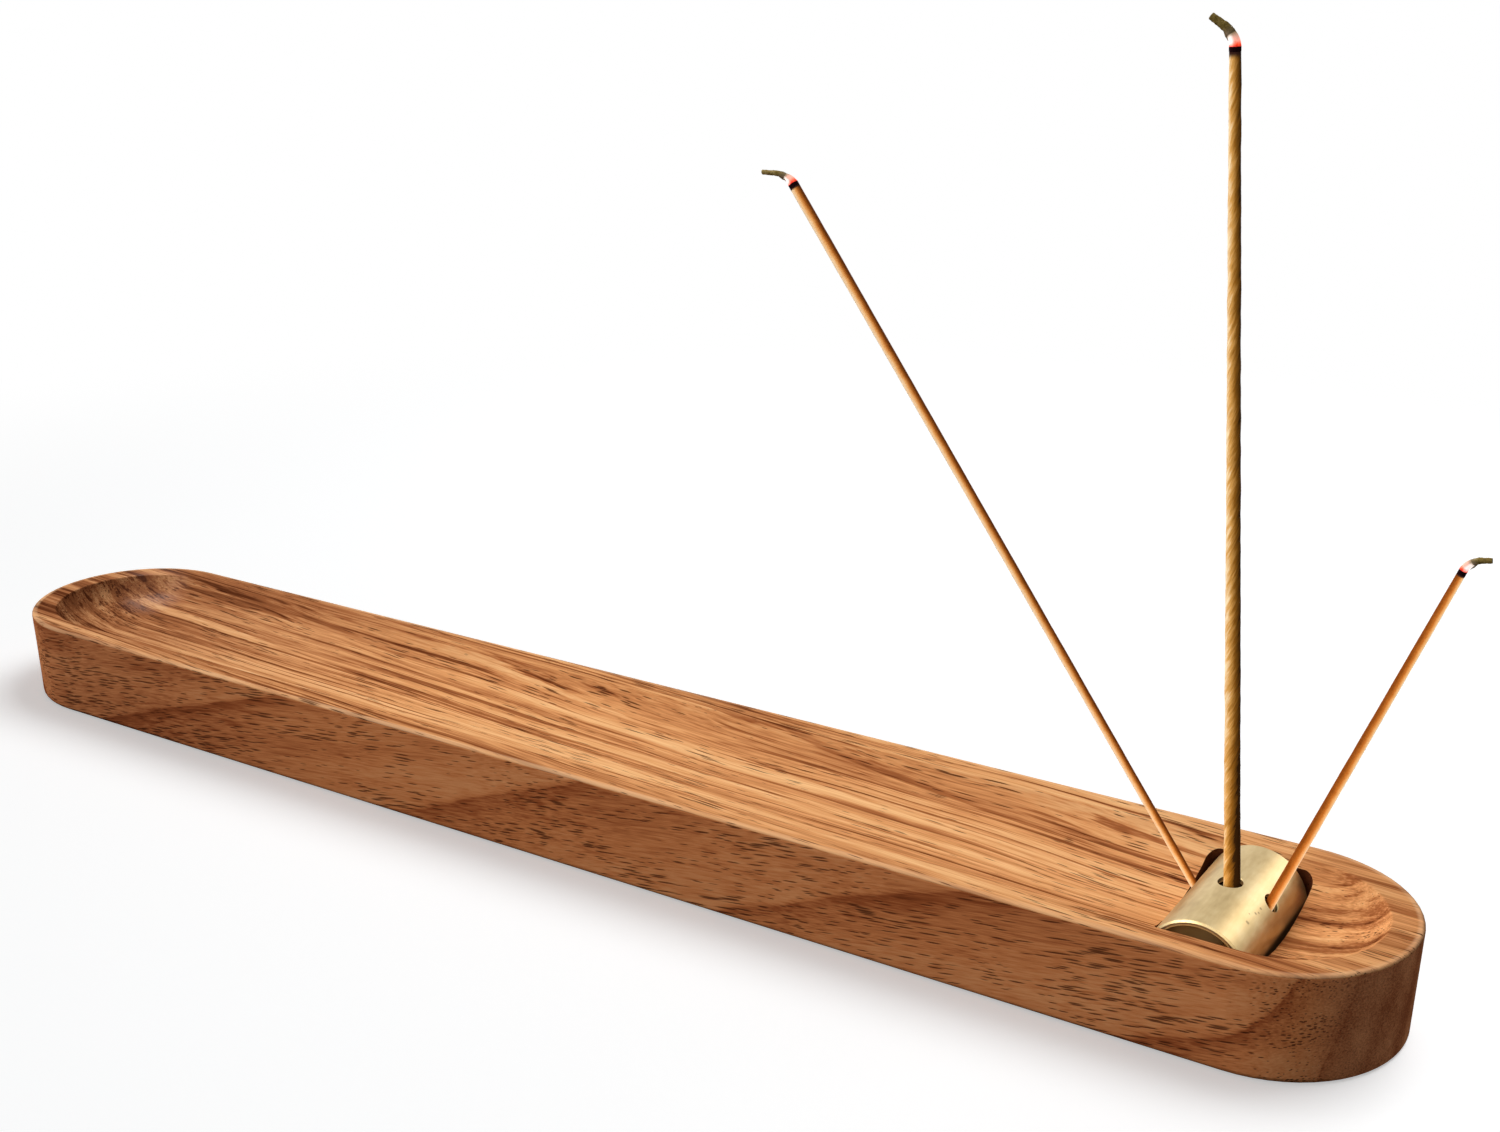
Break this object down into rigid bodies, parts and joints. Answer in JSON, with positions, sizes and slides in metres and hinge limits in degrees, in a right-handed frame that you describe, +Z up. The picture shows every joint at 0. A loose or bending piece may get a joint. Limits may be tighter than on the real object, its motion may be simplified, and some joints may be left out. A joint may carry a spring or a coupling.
{
  "type": "incense stick holder",
  "caption": "Long wooden incense holder with a coved ash trough and a drilled brass tube lying in a cross pocket, with burning incense sticks standing in the tube.",
  "frame": {"origin": "middle of the tray's underside", "axes": "+X along the tray towards the end with the brass tube, +Y across it, +Z up"},
  "size_m": [0.3027, 0.044, 0.1508],
  "materials": {
    "oiled_wood": "satin",
    "satin_brass": "satin",
    "thin_incense": "matte",
    "thick_incense": "matte",
    "char": "matte",
    "ember": "matte",
    "ash": "matte"
  },
  "bodies": {
    "tray": {"tray": "oiled_wood"},
    "tube": {"brass_tube": "satin_brass"},
    "left_incense": {"left_stick": "thin_incense", "left_char": "char", "left_ember": "ember", "left_ash": "ash"},
    "middle_incense": {"middle_stick": "thick_incense", "middle_char": "char", "middle_ember": "ember", "middle_ash": "ash"},
    "right_incense": {"right_stick": "thin_incense", "right_char": "char", "right_ember": "ember", "right_ash": "ash"}
  },
  "joints": [
    {"name": "tube_turn", "type": "hinge", "parent": "tray", "child": "tube", "pos_m": [0.1205, 0, 0.0116], "axis": [0, 1, 0], "range_deg": [-12, 30]},
    {"name": "left_lift", "type": "slide", "parent": "tube", "child": "left_incense", "axis": [-0.5835, 0, 0.8121], "range_m": [0, 0.016]},
    {"name": "middle_lift", "type": "slide", "parent": "tube", "child": "middle_incense", "axis": [-0.0785, 0, 0.9969], "range_m": [0, 0.016]},
    {"name": "right_lift", "type": "slide", "parent": "tube", "child": "right_incense", "axis": [0.3551, 0, 0.9348], "range_m": [0, 0.01]}
  ]
}
